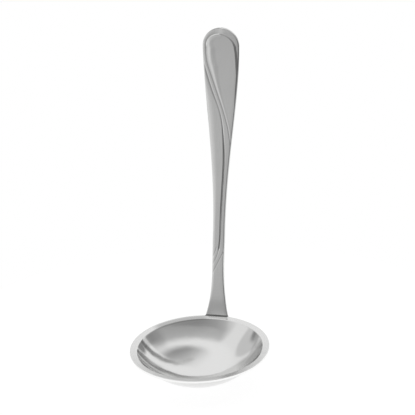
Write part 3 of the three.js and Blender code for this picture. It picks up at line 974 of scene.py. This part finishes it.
def make_studio():
    """White tent with a grey patch, open to a darker room in front and on the right."""
    world = bpy.data.worlds.new("studio")
    bpy.context.scene.world = world
    nodes = clear_nodes(world)
    way = nodes.add("ShaderNodeTexCoord").outputs["Generated"]
    axis = nodes.split(way)
    plan = nodes.flat(way)

    def blend(share, first, second):
        return nodes.get("ShaderNodeMix", {"Factor": share, "A": first, "B": second})

    slant = nodes.math("SUBTRACT", axis["X"], nodes.times(axis["Y"], 0.5))
    patch = nodes.times(
        nodes.spread(slant, -0.5, 0.27, 0, 0.64),
        nodes.spread(axis["Y"], 0.6, 0.72, 1, 0),
        nodes.spread(nodes.vector("DISTANCE", plan, PATCH_MIDDLE), 0.36, 0.54, 1, 0))
    tent = nodes.math("SUBTRACT", 1.0, patch)

    low = nodes.times(
        grey_ramp(nodes, axis["X"], LOW_GREYS),
        nodes.spread(axis["Z"], 0.045, 0.09, 0.99, 1.21),
        nodes.spread(axis["Z"], 0.1, 0.19, 1, 0.87))
    low = nodes.most(low, nodes.spread(axis["Y"], -0.1, 0.3, 0.1, 0.42))
    leftward = nodes.math("SUBTRACT", axis["Y"], axis["X"])
    high = nodes.most(
        grey_ramp(nodes, axis["X"], HIGH_GREYS),
        nodes.spread(leftward, -0.1, 0.45, 0.3, 0.93, "LINEAR"))
    opening = nodes.vector("DISTANCE", plan, TENT_MIDDLE)
    rim = nodes.times(
        grey_ramp(nodes, opening, RIM_GREYS),
        nodes.spread(axis["X"], -0.3, 0.4, 1.12, 0.97))
    room = blend(nodes.spread(axis["Z"], 0.25, 0.45, 0, 1), low, nodes.most(high, rim))

    opening = nodes.math("ADD", opening, nodes.spread(axis["X"], -0.3, 0, -0.04, 0))
    level = blend(nodes.spread(opening, 0.54, 0.7, 0, 1), tent, room)
    sheet = nodes.spread(nodes.vector("DISTANCE", way, SHEET_MIDDLE), 0.43, 0.49, 1, 0)
    level = nodes.most(level, sheet)
    for place, inner, outer, dark in DARK_PATCHES:
        apart = nodes.vector("DISTANCE", way, place)
        level = nodes.times(level, nodes.spread(apart, inner, outer, dark, 1))
    ray = nodes.add("ShaderNodeLightPath").outputs["Is Camera Ray"]
    shown = nodes.most(level, ray)
    background = nodes.get("ShaderNodeBackground", {"Color": shown, "Strength": 1.0})
    nodes.add("ShaderNodeOutputWorld", {"Surface": background})


def make_camera(stage):
    turn, rise, roll = stage.camera_turn, stage.camera_rise, stage.camera_roll
    back = Vector((math.sin(turn) * math.cos(rise), -math.cos(turn) * math.cos(rise), math.sin(rise)))
    right = Vector((math.cos(turn), math.sin(turn), 0))
    up = back.cross(right)
    aim = right * stage.aim_across + Vector((0, 0, stage.aim_height))
    side = math.cos(roll) * right - math.sin(roll) * up
    top = math.sin(roll) * right + math.cos(roll) * up
    lens = bpy.data.cameras.new("camera")
    lens.sensor_width = 36
    lens.sensor_fit = "HORIZONTAL"
    lens.lens = stage.camera_lens
    lens.clip_start = 0.01
    camera = new_object("camera", lens)
    turned = Matrix((side, top, back)).transposed().to_4x4()
    camera.matrix_world = Matrix.Translation(aim + back * stage.camera_distance) @ turned
    bpy.context.scene.camera = camera


class LADLE_OT_bowl(Operator):
    """Make the bowl by turning its half section."""

    bl_idname = "ladle.bowl"
    bl_label = "Bowl"

    def execute(self, context):
        bowl = context.scene.ladle_bowl
        profile = bowl_profile(bowl)
        points = [(radius, 0, height) for radius, height in profile]
        mesh = run_tree("bowl_shell", points, lathe_tree(), {
            "Section points": len(points),
            "Steps around": bowl.steps_around,
            "Steel": bowl_steel(context.scene.ladle_steel),
        })
        # The lathe leaves the faces looking inwards
        mesh.flip_normals()
        add_piece("bowl_shell", mesh, "bowl_steel", "bowl")
        return {"FINISHED"}


class LADLE_OT_handle(Operator):
    """Make the handle with its swirl and its tongue."""

    bl_idname = "ladle.handle"
    bl_label = "Handle"

    def execute(self, context):
        mesh = handle_mesh(context.scene.ladle_bowl, context.scene.ladle_handle)
        mesh.materials.append(handle_steel(context.scene.ladle_steel))
        add_piece("swirl_handle", mesh, "handle_steel", "handle")
        return {"FINISHED"}


class LADLE_OT_welds(Operator):
    """Make the two spot welds between the tongue and the bowl."""

    bl_idname = "ladle.welds"
    bl_label = "Spot welds"

    def execute(self, context):
        handle = context.scene.ladle_handle
        spine = trace_spine(context.scene.ladle_bowl, handle)
        middle = spine.seat - handle.seat_gap / 2
        reach = middle * math.sin(spine.weld_angle)
        height = spine.wall.centre - middle * math.cos(spine.weld_angle)
        places = []
        for side in (-1, 1):
            turn = math.asin(side * handle.weld_spacing / 2 / reach)
            places.append((reach * math.sin(turn), reach * math.cos(turn), height))
        mesh = run_tree("spot_welds", places, weld_tree(), {
            "Wall centre": (0.0, 0.0, spine.wall.centre),
            "Radius": handle.weld_diameter / 2,
            "Half thickness": handle.seat_gap / 2,
            "Steel": weld_steel(context.scene.ladle_steel),
        })
        add_piece("spot_welds", mesh, "weld_steel", "spot_weld_left", "spot_weld_right")
        return {"FINISHED"}


class LADLE_OT_stage(Operator):
    """Make the floor, the studio light and the camera."""

    bl_idname = "ladle.stage"
    bl_label = "Stage"

    def execute(self, context):
        stage = context.scene.ladle_stage
        make_floor(stage)
        make_studio()
        make_camera(stage)
        context.scene.view_settings.view_transform = "Standard"
        return {"FINISHED"}


class LADLE_PT_sidebar(Panel):
    """Sizes, colours and makers of the ladle."""

    bl_idname = "LADLE_PT_sidebar"
    bl_label = "Sauce ladle"
    bl_space_type = "VIEW_3D"
    bl_region_type = "UI"
    bl_category = "Ladle"

    def draw(self, context):
        layout = self.layout
        scene = context.scene
        for group, settings, makers in (
            ("Bowl", scene.ladle_bowl, (LADLE_OT_bowl,)),
            ("Handle", scene.ladle_handle, (LADLE_OT_handle, LADLE_OT_welds)),
            ("Steel", scene.ladle_steel, ()),
            ("Stage", scene.ladle_stage, (LADLE_OT_stage,)),
        ):
            box = layout.box()
            box.label(text=group)
            for name in settings.__annotations__:
                box.prop(settings, name)
            for maker in makers:
                box.operator(maker.bl_idname)


SETTINGS = {
    "ladle_bowl": LadleBowl,
    "ladle_handle": LadleHandle,
    "ladle_steel": LadleSteel,
    "ladle_stage": LadleStage,
}
CLASSES = (
    *SETTINGS.values(), LADLE_OT_bowl, LADLE_OT_handle, LADLE_OT_welds, LADLE_OT_stage, LADLE_PT_sidebar,
)


def register():
    for item in CLASSES:
        bpy.utils.register_class(item)
    for name, group in SETTINGS.items():
        setattr(bpy.types.Scene, name, PointerProperty(type=group))


def unregister():
    for name in SETTINGS:
        delattr(bpy.types.Scene, name)
    for item in reversed(CLASSES):
        bpy.utils.unregister_class(item)


def main():
    register()
    bpy.ops.ladle.bowl()
    bpy.ops.ladle.handle()
    bpy.ops.ladle.welds()
    bpy.ops.ladle.stage()


if __name__ == "__main__":
    main()
